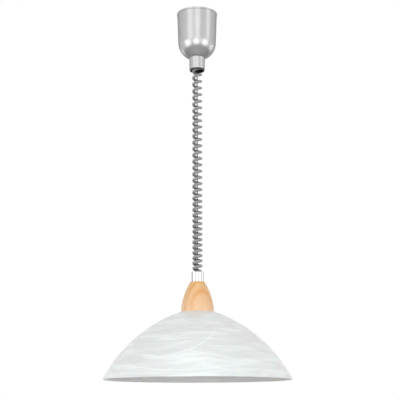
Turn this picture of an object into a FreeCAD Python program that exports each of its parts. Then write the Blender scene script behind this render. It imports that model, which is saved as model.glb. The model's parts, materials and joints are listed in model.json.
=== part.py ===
import FreeCAD, Part
import math
import os
import re

import Sketcher

# Rise and fall pendant: a spring balancer under a ceiling cup carries a glass shade on a
# steel wire, with a curly cord round the wire. Millimetres, +Z up. The origin is in the
# ceiling plane on the lamp's axis, so everything hangs at negative Z.

V = FreeCAD.Vector

SIZES = {
    # ceiling bracket and hook
    "bracket_length": "84",
    "bracket_width": "20",
    "bracket_thick": "2",
    "earth_screw_radius": "1.5",
    "earth_tag_radius": "4",
    "earth_tag_height": "4",
    "slot_spacing": "64",
    "slot_width": "4.5",
    "slot_length": "9",
    "hook_wire": "4",
    "hook_ring": "5.5",
    "hook_stem": "5",
    "hook_drop": "16",
    "hook_sweep": "285",
    "hook_nut_flats": "8",
    "hook_nut_height": "4",
    "eye_hole": "8.4",
    "eye_width": "14",
    "eye_thick": "2",
    "eye_foot": "18",
    "eye_screw_offset": "5.76",
    "eye_screw_grip": "5",
    # balancer housing, its drum and spring
    "drum_level": "66",
    "wind_radius": "16",
    "wire_diameter": "2.3",
    "wind_pitch": "2.4",
    "wound_turns": "4.5",
    "spare_front": "2.1",
    "flange_radius": "21.5",
    "flange_thick": "1.2",
    "barrel_wall": "1.5",
    "drum_web": "0.6",
    "housing_gap": "1.5",
    "side_gap": "0.6",
    "housing_wall": "2",
    "top_boss_level": "36",
    "top_boss_half": "10",
    "top_boss_shift": "2",
    "foot_boss_level": "98",
    "foot_boss_height": "14",
    "foot_boss_left": "22",
    "foot_boss_right": "22",
    "axle_radius": "3",
    "axle_head": "5",
    "axle_head_thick": "1.5",
    "knob_radius": "9",
    "knob_thick": "5",
    "knob_flute": "1.2",
    "knob_screw_length": "5.5",
    "spring_strip": "0.4",
    "spring_inner": "4.2",
    "spring_turns": "8",
    "spring_side_gap": "0.4",
    "cover_screw_radius": "1.25",
    "cover_screw_length": "8",
    "cover_screw_inset": "4",
    "top_screw_left": "3",
    "top_screw_right": "3.5",
    "foot_screw_left": "9",
    "foot_screw_right": "17",
    "guide_radius": "3",
    "guide_flange": "4.2",
    "guide_flange_thick": "2",
    "guide_depth": "10",
    # outlet tube, its gland and screws
    "tube_radius": "17.6",
    "tube_wall": "2",
    "tube_disc": "4",
    "tube_flange": "23",
    "tube_flange_thick": "3",
    "tube_standout": "3.2",
    "gland_radius": "4.2",
    "gland_flange": "6",
    "gland_flange_thick": "2",
    "gland_standout": "1",
    "gland_bore": "3.2",
    "tube_screw_radius": "1.5",
    "tube_screw_length": "9",
    "tube_screw_circle": "20.3",
    "tube_screw_angle": "14",
    # terminal block and its cores
    "block_length": "28",
    "block_height": "12",
    "block_depth": "14",
    "block_level": "48",
    "block_mouth_depth": "4",
    "clamp_hole_radius": "1.6",
    "clamp_hole_depth": "3",
    "clamp_screw_radius": "1",
    "clamp_screw_length": "1.7",
    "clamp_screw_sink": "1.3",
    "core_radius": "1.1",
    # ceiling cup and its neck
    "cup_rim": "48.5",
    "cup_shoulder": "46",
    "cup_shoulder_level": "76",
    "cup_dome": "43",
    "cup_height": "114.4",
    "cup_wall": "1.2",
    "cup_floor": "1.3",
    "cup_lip": "0.8",
    "cup_lip_height": "4",
    "collar_top": "19.1",
    "collar_foot": "18.7",
    "collar_length": "29.2",
    "collar_thread": "18.5",
    "collar_thread_length": "8",
    "collar_nut_radius": "23.5",
    "collar_nut_height": "3",
    "collar_nut_seat": "3.85",
    "collar_screw_radius": "1.5",
    "collar_screw_length": "2.2",
    "collar_screw_drop": "20.4",
    "collar_head_radius": "2.6",
    "collar_head_height": "2",
    # curly cord
    "curl_count": "35.1",
    "curl_radius": "8.8",
    "curl_stretch": "1.52",
    "curl_end_radius": "6.4",
    "cord_diameter": "6.8",
    "cord_bend": "7",
    "cord_tail_top": "11",
    "cord_tail_foot": "8",
    # chromed ferrule, grip and nipple
    "ferrule_level": "639",
    "ferrule_radius": "14.8",
    "ferrule_height": "23",
    "ferrule_wall": "0.9",
    "ferrule_mouth": "13.2",
    "ferrule_edge": "1.5",
    "grip_height": "11",
    "grip_web": "4.5",
    "grip_socket": "3",
    "grip_channel_width": "4.6",
    "grip_channel_depth": "2.5",
    "stop_radius": "2",
    "stop_length": "6",
    "nipple_radius": "4.95",
    "nipple_bore": "4",
    "nipple_length": "29",
    "nut_flats": "14",
    "nut_height": "3",
    "washer_radius": "12",
    "washer_thick": "1.5",
    # wooden cup
    "wood_top": "16.8",
    "wood_foot": "38.3",
    "wood_height": "70",
    "wood_curve": "139.7",
    "wood_web": "10",
    "wood_hole_gap": "0.25",
    "wood_edge": "0.8",
    "wood_throat": "15",
    "wood_waist": "22.5",
    "wood_waist_depth": "22",
    "wood_bore": "29.5",
    "wood_bore_depth": "50",
    "felt_radius": "36",
    "felt_thick": "1.2",
    "felt_gap": "0.1",
    # lampholder
    "cap_gap": "0.5",
    "cap_height": "21",
    "cap_radius": "19.5",
    "cap_crown": "10",
    "cap_dome_height": "11",
    "cap_dome": "13",
    "cap_boss": "8",
    "cap_boss_depth": "8",
    "cap_step": "1",
    "cap_wall": "2.2",
    "shell_radius": "19.8",
    "shell_length": "47",
    "shell_upper": "17.5",
    "shell_seat": "8",
    "shell_throat": "13.9",
    "shell_mouth": "17.8",
    "shell_mouth_depth": "18",
    "shell_bevel": "2",
    "insert_height": "12",
    "insert_hole_depth": "5",
    "insert_screw_radius": "1.25",
    "insert_screw_length": "4.5",
    "insert_screw_offset": "11",
    "contact_thick": "1.5",
    "centre_leaf_length": "14",
    "centre_leaf_width": "5",
    "side_leaf_thick": "0.4",
    "side_leaf_width": "4",
    "side_leaf_height": "10",
    "side_leaf_gap": "0.22",
    "lamp_core_radius": "0.9",
    "core_spread": "5",
    # glass shade and what clamps it
    "shade_hole": "20.5",
    "shade_seat": "41.1",
    "shade_seat_step": "0.8",
    "shade_curve": "322.9",
    "shade_wall": "4",
    "shade_rim": "215.2",
    "shade_rim_depth": "151.3",
    "shade_rim_slope": "28.1",
    "gasket_radius": "29",
    "gasket_thick": "1.5",
    "ring_radius": "29",
    "ring_height": "6",
    "ring_step": "4",
    "ring_flange": "2",
    "ring_flange_bevel": "0.5",
    "ring_grip": "1.3",
    # bulb
    "bulb_cap_radius": "13.2",
    "bulb_cap_length": "25",
    "bulb_cap_top": "2",
    "bulb_cap_slope": "4.5",
    "bulb_cap_shoulder": "7",
    "bulb_cap_floor": "8",
    "bulb_cap_wall": "0.6",
    "bulb_radius": "30",
    "bulb_length": "105",
    "bulb_neck_curve": "52",
    "bulb_wall": "0.8",
    "bulb_lap": "4",
    "bulb_neck_drop": "1",
    "bulb_glaze_inner": "5.5",
    "bulb_glaze_outer": "8.5",
    "bulb_neck_angle": "28",
    "bulb_low_angle": "-31",
    "bulb_tip": "4.5",
    "bulb_tip_bevel": "1",
    # clearances
    "fit_gap": "0.05",
    "seat_gap": "0.3",
    "cut_over": "1",
    "hole_spare": "0.5",
}

# Levels that several pieces share, as expressions of the sizes.
EYE_TOP = "-hook_drop - hook_ring + hook_wire/2 + seat_gap"
DRUM_X = "-wind_radius"
DRUM_Z = "-drum_level"
BARREL_FRONT = "-spare_front*wind_pitch - wire_diameter/2"
BARREL_WIDTH = "(wound_turns + spare_front)*wind_pitch + 1.5*wire_diameter"
BARREL_BORE = "(wind_radius - wire_diameter/2 - fit_gap - barrel_wall)"
HOUSING_RADIUS = "(flange_radius + housing_gap + housing_wall)"
CAVITY_RADIUS = "(flange_radius + housing_gap)"
CAVITY_FRONT = f"({BARREL_FRONT} - flange_thick - side_gap)"
CAVITY_WIDTH = f"({BARREL_WIDTH} + 2*flange_thick + 2*side_gap)"
HOUSING_FRONT = f"({CAVITY_FRONT} - housing_wall)"
HOUSING_DEPTH = f"({CAVITY_WIDTH} + housing_wall)"
COVER_FRONT = f"({HOUSING_FRONT} + {HOUSING_DEPTH})"
KNOB_FRONT = f"({COVER_FRONT} + housing_wall + seat_gap)"
TUBE_TOP = "-foot_boss_level"
TUBE_FOOT = "-(cup_height + collar_length + tube_standout)"
CORD_TOP = "-(foot_boss_level + tube_disc + gland_standout)"
WOOD_TOP = "-(ferrule_level + ferrule_height)"
GRIP_TOP = f"({WOOD_TOP} + grip_height)"
WEB_FOOT = f"({GRIP_TOP} - grip_web)"
CAP_TOP = f"({WOOD_TOP} - wood_web - washer_thick - nut_height - cap_gap)"
SHELL_TOP = f"({CAP_TOP} - cap_height)"
INSERT_FOOT = f"({SHELL_TOP} - shell_seat)"
GLASS_TOP = f"({WOOD_TOP} - wood_height)"
BULB_TOP = f"({INSERT_FOOT} - contact_thick - seat_gap)"
GLAND_X = "sqrt(curl_radius^2 + cord_bend^2)"
TUBE_SCREWS = [(f"{sign}tube_screw_circle*cos(tube_screw_angle)",
                f"{sign}tube_screw_circle*sin(tube_screw_angle)") for sign in ("-", "")]
COLLAR_SCREW_ANGLES = (60, 120)
KNOB_FLUTES = 12
RING_GRIPS = 12
# A slotted screw's head and slot, over its shank's radius, its head or its head's height.
SCREW_HEAD = "1.9"
SCREW_HEAD_HEIGHT = "0.9"
SCREW_SLOT_REACH = "1.2"
SCREW_SLOT_WIDTH = "0.4"
SCREW_SLOT_DEPTH = "0.5"
# A hair over half the wall, so that the rim's arc stays short of a full half circle.
RIM_ROUND = "shade_wall/2 + 0.001"

ALONG_Y = FreeCAD.Rotation(V(1, 0, 0), -90)
ALONG_X = FreeCAD.Rotation(V(0, 1, 0), 90)
FACING_DOWN = FreeCAD.Rotation(V(1, 0, 0), 180)
FACING_FRONT = FreeCAD.Rotation(V(1, 0, 0), 90)
UPRIGHT = FreeCAD.Rotation()

doc = FreeCAD.newDocument("rise_and_fall_pendant")
sheet = doc.addObject("Spreadsheet::Sheet", "sizes")
for row, (alias, number) in enumerate(SIZES.items(), 1):
    sheet.set(f"A{row}", alias)
    sheet.set(f"B{row}", number)
    sheet.setAlias(f"B{row}", alias)
doc.recompute()

NODES = {}


def bound(text):
    """The expression with each size read from the sheet."""
    return re.sub(r"[a-z][a-z_0-9]*", lambda word: "sizes." + word.group(0)
                  if word.group(0) in SIZES else word.group(0), str(text))


def size(text):
    """The expression's value now."""
    return float(sheet.evalExpression(bound(text)))


def place(thing, at, turn):
    thing.Placement = FreeCAD.Placement(V(*[size(text) for text in at]), turn)
    for side, text in zip("xyz", at):
        thing.setExpression(f"Placement.Base.{side}", bound(text))
    return thing


def solid(kind, name, at=(0, 0, 0), turn=UPRIGHT, **sizes):
    """A Part primitive with bound sizes."""
    thing = doc.addObject("Part::" + kind, name)
    for key, text in sizes.items():
        if key == "Polygon":
            thing.Polygon = text
        else:
            thing.setExpression(key, bound(text))
    return place(thing, at, turn)


def rod(name, radius, length, at=(0, 0, 0), turn=UPRIGHT):
    return solid("Cylinder", name, at, turn, Radius=radius, Height=length)


def box(name, length, width, height, at, turn=UPRIGHT):
    return solid("Box", name, at, turn, Length=length, Width=width, Height=height)


def fuse(name, pieces):
    thing = doc.addObject("Part::MultiFuse", name)
    thing.Shapes = pieces
    return thing


def cut(name, base, tools):
    tool = tools[0] if len(tools) == 1 else fuse(name + "_tools", tools)
    thing = doc.addObject("Part::Cut", name)
    thing.Base = base
    thing.Tool = tool
    return thing


def group(name, pieces):
    thing = doc.addObject("Part::Compound", name)
    thing.Links = pieces
    return thing


def shaped(name, shape):
    thing = doc.addObject("Part::Feature", name)
    thing.Shape = shape
    thing.Placement = FreeCAD.Placement()
    return thing


def node(label, thing):
    thing.Label = label
    NODES[label] = thing
    return thing


def outline_sketch(body, name, role, outline):
    """A closed sketch through (x, y) corners, each bound to the sizes. A corner with two
    more values starts an arc of that radius, centred left (1) or right (-1) of its chord."""
    sketch = body.newObject("Sketcher::SketchObject", name)
    plane = [one for one in body.Origin.OriginFeatures if one.Role == role][0]
    sketch.AttachmentSupport = [(plane, "")]
    sketch.MapMode = "FlatFace"
    corners = [V(size(corner[0]), size(corner[1]), 0) for corner in outline]
    count = len(corners)
    first = []
    for index, corner in enumerate(outline):
        start = corners[index]
        end = corners[(index + 1) % count]
        if len(corner) == 2:
            sketch.addGeometry(Part.LineSegment(start, end), False)
        else:
            radius = size(corner[2])
            chord = end - start
            across = V(-chord.y, chord.x, 0).normalize() * corner[3]
            rise = math.sqrt(radius ** 2 - chord.Length ** 2 / 4)
            middle = (start + end) / 2 - across * (radius - rise)
            sketch.addGeometry(Part.Arc(start, middle, end), False)
        first.append(1 if (sketch.getPoint(index, 1) - start).Length < 1e-6 else 2)
    for index in range(count):
        after = (index + 1) % count
        sketch.addConstraint(Sketcher.Constraint(
            "Coincident", index, 3 - first[index], after, first[after]))
    for index, corner in enumerate(outline):
        start = corners[index]
        for kind, text, now in (("DistanceX", corner[0], start.x), ("DistanceY", corner[1], start.y)):
            held = sketch.addConstraint(Sketcher.Constraint(kind, -1, 1, index, first[index], now))
            sketch.setExpression(f"Constraints[{held}]", bound(text))
        if len(corner) > 2:
            held = sketch.addConstraint(Sketcher.Constraint("Radius", index, size(corner[2])))
            sketch.setExpression(f"Constraints[{held}]", bound(corner[2]))
    return sketch


def turned(name, outline, at=(0, 0, 0), turn=UPRIGHT):
    """A turned body: its outline in (radius, height) goes round the body's Z axis."""
    body = doc.addObject("PartDesign::Body", name)
    sketch = outline_sketch(body, name + "_outline", "XZ_Plane", outline)
    revolution = body.newObject("PartDesign::Revolution", name + "_turned")
    revolution.Profile = sketch
    revolution.ReferenceAxis = (sketch, ["V_Axis"])
    revolution.Angle = 360
    return place(body, at, turn)


def long_plate(name, half_run, half_width, thick, x, z):
    """A flat bar along X with round ends, as a strap or as the cutter of a slot."""
    bar = box(name + "_bar", f"2*{half_run}", f"2*{half_width}", thick,
              (f"{x} - {half_run}", f"-{half_width}", z))
    ends = [rod(f"{name}_end_{side}", half_width, thick, (f"{x} {sign} {half_run}", "0", z))
            for side, sign in (("left", "-"), ("right", "+"))]
    return fuse(name, [bar] + ends)


def screw(name, radius, length, at, turn, head=SCREW_HEAD, head_height=SCREW_HEAD_HEIGHT):
    """A slotted screw. It stands head down, its shank along its own +Z from the seat."""
    shank = rod(name + "_shank", radius, length, at, turn)
    cap = rod(name + "_cap", f"{radius}*{head}", f"{radius}*{head_height}", at,
              turn * FreeCAD.Rotation(V(1, 0, 0), 180))
    whole = fuse(name + "_whole", [shank, cap])
    slot_half = f"{radius}*{head}*{SCREW_SLOT_REACH}"
    deep = f"{radius}*{head_height}"
    back = turn.multVec(V(0, 0, 1))
    side = turn.multVec(V(1, 0, 0))
    up = turn.multVec(V(0, 1, 0))
    corner = []
    for index, text in enumerate(at):
        corner.append(f"{text} - ({slot_half})*{side[index]:.0f}"
                      f" - {SCREW_SLOT_WIDTH}/2*({radius})*{up[index]:.0f}"
                      f" - ({deep})*{back[index]:.0f}")
    slot = box(name + "_slot", f"2*{slot_half}", f"{SCREW_SLOT_WIDTH}*{radius}",
               f"{SCREW_SLOT_DEPTH}*{deep}", corner, turn)
    return cut(name, whole, [slot])


def biarc(start, start_way, end, end_way):
    """Two arcs that leave start and reach end along the given directions."""
    span = end - start
    ways = start_way + end_way
    turn_left = 2 * (1 - start_way.dot(end_way))
    reach = span.dot(ways)
    if turn_left < 1e-9:
        return [Part.LineSegment(start, end).toShape()]
    leg = (math.sqrt(reach ** 2 + turn_left * span.dot(span)) - reach) / turn_left
    joint = (start + end + (start_way - end_way) * leg) / 2
    edges = []
    for first, knee, last in ((start, start + start_way * leg, joint),
                              (joint, end - end_way * leg, end)):
        weight = (last - first).Length / (2 * leg)
        middle = (first + last + knee * (2 * weight)) / (2 + 2 * weight)
        edges.append(Part.Arc(first, middle, last).toShape())
    return edges


def tube_along(edges, start, way, radius):
    """One unbroken round tube along the edges."""
    spine = Part.Wire(edges)
    ring = Part.Wire([Part.Circle(start, way, radius).toShape()])
    tube = spine.makePipeShell([ring], True, False)
    return tube, spine


def least_gap(points, step, wire_size, apart):
    """The least gap between stretches of a tube that lie further apart along it."""
    skip = int(apart / step)
    least = None
    for index, point in enumerate(points):
        for other in points[index + skip:]:
            if abs(other.z - point.z) > 4 * wire_size:
                continue
            gap = (other - point).Length - wire_size
            if least is None or gap < least:
                least = gap
    return least


def rounded_route(points, share=0.45):
    """Straight runs through the points, joined by tangent arcs."""
    edges = []
    last = points[0]
    for before, corner, after in zip(points, points[1:], points[2:]):
        into = (corner - before).normalize()
        out = (after - corner).normalize()
        run = min((corner - before).Length, (after - corner).Length) * share
        start = corner - into * run
        end = corner + out * run
        edges.append(Part.LineSegment(last, start).toShape())
        half = into.getAngle(out) / 2
        weight = math.cos(half)
        middle = (start + end + corner * (2 * weight)) / (2 + 2 * weight)
        edges.append(Part.Arc(start, middle, end).toShape())
        last = end
    edges.append(Part.LineSegment(last, points[-1]).toShape())
    return edges


def wire_run(name, points, radius):
    """A round lead along straight runs and tangent arcs."""
    edges = rounded_route(points)
    tube, spine = tube_along(edges, points[0], points[1] - points[0], radius)
    ratio = tube.Volume / (math.pi * radius ** 2 * spine.Length)
    print(f"{name}: length {spine.Length:.1f} mm, volume ratio {ratio:.4f}")
    return shaped(name, tube)


# ---------------------------------------------------------------- ceiling bracket and hook

def ceiling_bracket():
    half = "bracket_width/2"
    strap = long_plate("strap", f"(bracket_length/2 - {half})", half, "bracket_thick",
                       "0", "-bracket_thick")
    run = "(slot_length/2 - slot_width/2)"
    holes = [long_plate(f"slot_{side}", run, "slot_width/2", "bracket_thick + 2*cut_over",
                        f"{sign}slot_spacing/2", "-bracket_thick - cut_over")
             for side, sign in (("left", "-"), ("right", ""))]
    holes.append(rod("stem_hole", "hook_stem/2 + fit_gap", "bracket_thick + 2*cut_over",
                     ("0", "0", "-bracket_thick - cut_over")))
    holes.append(rod("earth_hole", "earth_screw_radius + fit_gap", "bracket_thick + 2*cut_over",
                     ("-slot_spacing/4", "0", "-bracket_thick - cut_over")))
    node("ceiling_bracket", cut("bracket", strap, holes))
    node("earth_screw", screw("earth", "earth_screw_radius",
                              "bracket_thick - seat_gap + earth_tag_height",
                              ("-slot_spacing/4", "0", "-bracket_thick - earth_tag_height"),
                              UPRIGHT))
    foot = "-bracket_thick - earth_tag_height"
    disc = rod("earth_disc", "earth_tag_radius", "earth_tag_height", ("-slot_spacing/4", "0", foot))
    bore = rod("earth_bore", "earth_screw_radius + fit_gap", "earth_tag_height + 2*cut_over",
               ("-slot_spacing/4", "0", f"{foot} - cut_over"))
    node("earth_tag", cut("earth_ring", disc, [bore]))


def suspension_hook():
    stem = rod("hook_stem_rod", "hook_stem/2", "hook_drop - hook_ring - seat_gap",
               ("0", "0", "-hook_drop + hook_ring"))
    ring = solid("Torus", "hook_bow", ("0", "0", "-hook_drop"),
                 FACING_FRONT * FreeCAD.Rotation(V(0, 0, 1), 90),
                 Radius1="hook_ring", Radius2="hook_wire/2", Angle3="hook_sweep")
    node("suspension_hook", fuse("hook", [stem, ring]))
    blank = solid("Prism", "hook_nut_blank", ("0", "0", "-bracket_thick - hook_nut_height"),
                  Polygon=6, Circumradius="hook_nut_flats/2/cos(30)", Height="hook_nut_height")
    bore = rod("hook_nut_bore", "hook_stem/2 + fit_gap", "hook_nut_height + 2*cut_over",
               ("0", "0", "-bracket_thick - hook_nut_height - cut_over"))
    node("hook_nut", cut("hook_nut_cut", blank, [bore]))


def hanging_eye():
    centre = f"({EYE_TOP} - eye_hole/2)"
    half = "eye_width/2"
    foot = "-top_boss_level"
    crown = rod("eye_crown", half, "eye_thick", ("-eye_thick/2", "0", centre), ALONG_X)
    shank = box("eye_shank", "eye_thick", "eye_width", f"{centre} + top_boss_level",
                ("-eye_thick/2", f"-{half}", foot))
    flat = box("eye_flat", "eye_foot", "eye_width", "eye_thick",
               ("-eye_foot/2", f"-{half}", foot))
    hole = rod("eye_hole_cut", "eye_hole/2", "eye_thick + 2*cut_over",
               ("-eye_thick/2 - cut_over", "0", centre), ALONG_X)
    tools = [hole]
    screws = []
    for side, sign in (("left", "-"), ("right", "")):
        at = f"{sign}eye_screw_offset"
        tools.append(rod(f"eye_screw_hole_{side}", "cover_screw_radius + fit_gap",
                         "eye_thick + 2*cut_over", (at, "0", f"{foot} - cut_over")))
        screws.append(screw(f"eye_screw_{side}", "cover_screw_radius", "eye_thick + eye_screw_grip",
                            (at, "0", f"{foot} + eye_thick"), FACING_DOWN))
    node("hanging_eye", cut("eye", fuse("eye_blank", [crown, shank, flat]), tools))
    node("eye_screws", group("eye_screw_pair", screws))


# ---------------------------------------------------------------- balancer

def case_outline(name, front, depth):
    """The case's side view, a round for the drum with a boss above and below."""
    round_part = rod(name + "_round", HOUSING_RADIUS, depth, (DRUM_X, front, DRUM_Z), ALONG_Y)
    top = box(name + "_top", "2*top_boss_half", depth, "drum_level - top_boss_level",
              ("-top_boss_half - top_boss_shift", front, "-drum_level"))
    foot = box(name + "_foot", "foot_boss_left + foot_boss_right", depth, "foot_boss_height",
               ("-foot_boss_left", front, "-foot_boss_level"))
    return fuse(name, [round_part, top, foot])


def cover_screw_places():
    high = "-top_boss_level - cover_screw_inset"
    low = "-foot_boss_level + cover_screw_inset"
    return [("-top_boss_half - top_boss_shift + top_screw_left", high),
            ("top_boss_half - top_boss_shift - top_screw_right", high),
            ("-foot_boss_left + foot_screw_left", low),
            ("foot_boss_right - foot_screw_right", low)]


def tail_spot(end_radius, angle):
    """Where a straight tail stands that bends off the curl's end at this angle."""
    reach = math.hypot(end_radius, size("cord_bend"))
    return reach * math.cos(angle), reach * math.sin(angle)


def balancer_case():
    outer = case_outline("case_blank", HOUSING_FRONT, HOUSING_DEPTH)
    tools = [
        rod("case_cavity", CAVITY_RADIUS, f"{CAVITY_WIDTH} + cut_over", (DRUM_X, CAVITY_FRONT, DRUM_Z),
            ALONG_Y),
        rod("case_axle_hole", "axle_radius + fit_gap", "housing_wall + 2*cut_over",
            (DRUM_X, f"{HOUSING_FRONT} - cut_over", DRUM_Z), ALONG_Y),
        rod("case_wire_hole", "wire_diameter", "foot_boss_level - drum_level",
            ("0", "0", "-foot_boss_level")),
        rod("case_guide_hole", "guide_radius + fit_gap", "guide_depth",
            ("0", "0", "-foot_boss_level")),
        rod("case_gland_hole", "gland_radius + fit_gap", "foot_boss_height + 2*cut_over",
            (GLAND_X, "0", "-foot_boss_level - cut_over")),
        rod("case_block_hole", "cover_screw_radius + fit_gap", "housing_wall + 2*cut_over",
            (DRUM_X, f"{HOUSING_FRONT} - cut_over", "-block_level"), ALONG_Y),
    ]
    for side, sign in (("left", "-"), ("right", "")):
        tools.append(rod(f"case_eye_hole_{side}", "cover_screw_radius + fit_gap",
                         "eye_screw_grip + 2*hole_spare",
                         (f"{sign}eye_screw_offset", "0",
                          "-top_boss_level - eye_screw_grip - hole_spare")))
    for index, (x, z) in enumerate(cover_screw_places()):
        tools.append(rod(f"case_cover_hole_{index}", "cover_screw_radius + fit_gap",
                         "cover_screw_length",
                         (x, f"{COVER_FRONT} + housing_wall - cover_screw_length - hole_spare", z),
                         ALONG_Y))
    for index, (x, y) in enumerate(TUBE_SCREWS):
        tools.append(rod(f"case_tube_hole_{index}", "tube_screw_radius + fit_gap",
                         "tube_screw_length - tube_flange_thick + 2*hole_spare",
                         (x, y, "-foot_boss_level")))
    node("balancer_case", cut("case", outer, tools))


def balancer_cover():
    blank = case_outline("cover_blank", COVER_FRONT, "housing_wall")
    tools = [
        rod("cover_axle_hole", "axle_radius + fit_gap", "housing_wall + 2*cut_over",
            (DRUM_X, f"{COVER_FRONT} - cut_over", DRUM_Z), ALONG_Y),
    ]
    screws = []
    for index, (x, z) in enumerate(cover_screw_places()):
        tools.append(rod(f"cover_hole_{index}", "cover_screw_radius + fit_gap",
                         "housing_wall + 2*cut_over", (x, f"{COVER_FRONT} - cut_over", z), ALONG_Y))
        screws.append(screw(f"cover_screw_{index}", "cover_screw_radius", "cover_screw_length",
                            (x, f"{COVER_FRONT} + housing_wall", z), FACING_FRONT))
    node("balancer_cover", cut("cover", blank, tools))
    node("cover_screws", group("cover_screw_set", screws))


def rope_drum():
    barrel = "(wind_radius - wire_diameter/2 - fit_gap)"
    inner = BARREL_BORE
    bore = "axle_radius + fit_gap"
    outline = [
        (bore, "-flange_thick"), ("flange_radius", "-flange_thick"), ("flange_radius", "0"),
        (barrel, "0"), (barrel, BARREL_WIDTH), ("flange_radius", BARREL_WIDTH),
        ("flange_radius", f"{BARREL_WIDTH} + flange_thick"),
        (inner, f"{BARREL_WIDTH} + flange_thick"), (inner, "drum_web"), (bore, "drum_web"),
    ]
    node("rope_drum", turned("drum", outline, (DRUM_X, BARREL_FRONT, DRUM_Z), ALONG_Y))


def main_spring():
    """A flat strip in a spiral of half circles, its outer end against the drum's barrel."""
    strip = size("spring_strip")
    halves = int(size("spring_turns")) * 2
    room = size(f"{BARREL_BORE} - seat_gap - spring_strip - spring_inner")
    step = room / halves
    sides = []
    for offset in (0, strip):
        radius = size("spring_inner") + offset
        centre = 0.0
        sign = 1
        edges = []
        for _ in range(halves):
            edges.append(Part.Arc(V(centre + sign * radius, 0, 0), V(centre, sign * radius, 0),
                                  V(centre - sign * radius, 0, 0)).toShape())
            centre += sign * step
            radius += step
            sign = -sign
        sides.append(edges)
    inner, outer = sides
    ends = [Part.LineSegment(inner[0].Vertexes[0].Point, outer[0].Vertexes[0].Point).toShape(),
            Part.LineSegment(inner[-1].Vertexes[1].Point, outer[-1].Vertexes[1].Point).toShape()]
    face = Part.Face(Part.Wire(Part.__sortEdges__(inner + outer + ends)))
    width = size(f"{BARREL_WIDTH} - drum_web - spring_side_gap")
    coil = face.extrude(V(0, 0, width))
    spot = V(size(DRUM_X), size(f"{BARREL_FRONT} + drum_web + spring_side_gap"), size(DRUM_Z))
    spring = doc.addObject("Part::Feature", "spring")
    spring.Shape = coil
    spring.Placement = FreeCAD.Placement(spot, ALONG_Y)
    node("main_spring", spring)


def drum_axle():
    length = f"({KNOB_FRONT} + knob_thick - {HOUSING_FRONT})"
    outline = [("0", "-axle_head_thick"), ("axle_head", "-axle_head_thick"), ("axle_head", "0"),
               ("axle_radius", "0"),
               ("axle_radius", length), ("0", length)]
    axle = turned("axle", outline, (DRUM_X, HOUSING_FRONT, DRUM_Z), ALONG_Y)
    hole = rod("axle_screw_hole", "cover_screw_radius + fit_gap",
               "knob_screw_length + hole_spare + cut_over",
               (DRUM_X, f"{KNOB_FRONT} + knob_thick - knob_screw_length - hole_spare", DRUM_Z),
               ALONG_Y)
    node("drum_axle", cut("axle_cut", axle, [hole]))
    disc = rod("knob_disc", "knob_radius", "knob_thick", (DRUM_X, KNOB_FRONT, DRUM_Z), ALONG_Y)
    tools = [rod("knob_bore", "axle_radius + fit_gap", "knob_thick + 2*cut_over",
                 (DRUM_X, f"{KNOB_FRONT} - cut_over", DRUM_Z), ALONG_Y)]
    for index in range(KNOB_FLUTES):
        angle = index * 360 / KNOB_FLUTES
        tools.append(rod(f"knob_flute_{index}", "knob_flute", "knob_thick + 2*cut_over",
                         (f"{DRUM_X} + knob_radius*cos({angle})", f"{KNOB_FRONT} - cut_over",
                          f"{DRUM_Z} + knob_radius*sin({angle})"), ALONG_Y))
    node("tension_knob", cut("knob", disc, tools))
    node("knob_screw", screw("knob_fixing", "cover_screw_radius", "knob_screw_length",
                             (DRUM_X, f"{KNOB_FRONT} + knob_thick", DRUM_Z), FACING_FRONT,
                             head="3", head_height="1.2"))


def wire_winding():
    """The turns of wire on the drum at rest, one unbroken helix round the drum's axis."""
    radius = size("wind_radius")
    pitch = size("wind_pitch")
    halves = int(2 * size("wound_turns"))
    centre = V(size(DRUM_X), 0, size(DRUM_Z))

    def spot(turn):
        angle = 2 * math.pi * turn
        return centre + V(radius * math.cos(angle), pitch * turn, radius * math.sin(angle))

    def way(turn):
        angle = 2 * math.pi * turn
        pace = V(-radius * math.sin(angle), pitch / (2 * math.pi), radius * math.cos(angle))
        return pace.normalize()

    edges = []
    for half in range(halves):
        here, there = half / 2, (half + 1) / 2
        edges += biarc(spot(here), way(here), spot(there), way(there))
    tube, spine = tube_along(edges, spot(0), way(0), size("wire_diameter/2"))
    print(f"wire_winding: length {spine.Length:.0f} mm, gap {pitch - size('wire_diameter'):.2f} mm")
    node("wire_winding", shaped("winding", tube))


def suspension_wire():
    top = "-drum_level"
    wire = rod("rope", "wire_diameter/2", f"{top} - ({WEB_FOOT} - stop_length)",
               ("0", "0", f"{WEB_FOOT} - stop_length"))
    node("suspension_wire", wire)


def wire_guide():
    bore = "wire_diameter/2 + fit_gap"
    crown = "guide_depth - seat_gap"
    outline = [(bore, "-guide_flange_thick"), ("guide_flange", "-guide_flange_thick"),
               ("guide_flange", "0"), ("guide_radius", "0"), ("guide_radius", crown),
               (bore, crown)]
    node("wire_guide", turned("guide", outline, ("0", "0", "-foot_boss_level")))


# ---------------------------------------------------------------- outlet tube and wiring

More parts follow.
